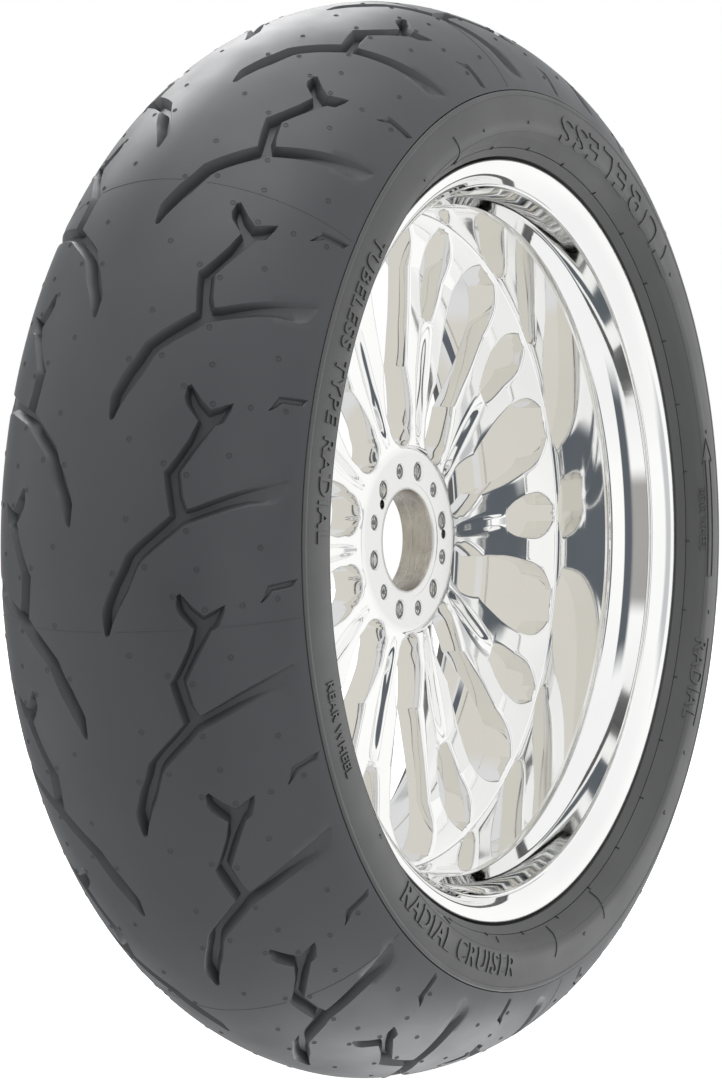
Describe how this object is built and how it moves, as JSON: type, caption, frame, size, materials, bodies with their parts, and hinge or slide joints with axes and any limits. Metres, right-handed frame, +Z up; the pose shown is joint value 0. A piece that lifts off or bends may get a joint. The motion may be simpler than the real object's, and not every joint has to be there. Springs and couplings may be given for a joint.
{
  "type": "motorcycle tire on its wheel",
  "caption": "Wide tubeless rear tyre with lightning-shaped grooves, mounted on a polished aluminium wheel with a spoked centre and an open hub bore.",
  "frame": {"origin": "centre of the wheel, on its spin axis and in its centre plane", "axes": "+Y along the spin axis towards the wheel's right side, +Z up, -X forwards"},
  "size_m": [0.6604, 0.2032, 0.6604],
  "materials": {
    "tread_rubber": "satin grey-black rubber, slightly bluish",
    "sidewall_rubber": "satin black rubber with fine moulded rings",
    "inner_rubber": "matt black rubber",
    "ply_cord": "rubbered textile cord",
    "bead_steel": "brass-coated steel wire",
    "polished_aluminium": "mirror polished",
    "valve_metal": "nickel plated brass",
    "brass": "turned brass",
    "cap_plastic": "moulded black plastic"
  },
  "bodies": {
    "wheel": {"tread_band": "tread_rubber", "sidewall_left": "sidewall_rubber", "sidewall_right": "sidewall_rubber", "chafer_left": "sidewall_rubber", "chafer_right": "sidewall_rubber", "steel_belt": "bead_steel", "carcass_ply": "ply_cord", "inner_liner": "inner_rubber", "bead_core_left": "bead_steel", "bead_core_right": "bead_steel", "bead_filler_left": "inner_rubber", "bead_filler_right": "inner_rubber", "rim_barrel": "polished_aluminium", "spoke_disc": "polished_aluminium", "valve_stem": "valve_metal", "valve_nut": "valve_metal", "valve_washer": "valve_metal", "valve_grommet": "inner_rubber", "valve_core_body": "brass", "valve_core_spring": "bead_steel"},
    "core_pin": {"valve_core_pin": "brass"},
    "cap_seal": {"valve_cap_seal": "inner_rubber"},
    "cap": {"valve_cap": "cap_plastic"}
  },
  "joints": [
    {"name": "core_pin_press", "type": "slide", "parent": "wheel", "child": "core_pin", "axis": [-0.9937, 0, -0.112], "range_m": [0, 0.0015], "stiffness_N_per_m": 400, "springref_m": -0.002, "deforming": ["valve_core_spring"]},
    {"name": "cap_travel", "type": "slide", "parent": "wheel", "child": "cap_seal", "axis": [0.9937, 0, 0.112], "range_m": [0, 0.00476]},
    {"name": "cap_turn", "type": "hinge", "parent": "cap_seal", "child": "cap", "pos_m": [-0.17561, -0.028, -0.01979], "axis": [0.9937, 0, 0.112], "range_deg": [0, 2162]}
  ],
  "couplings": [
    {"joint": "cap_turn", "follows": "cap_travel", "rad_per_m": 7913.3}
  ]
}
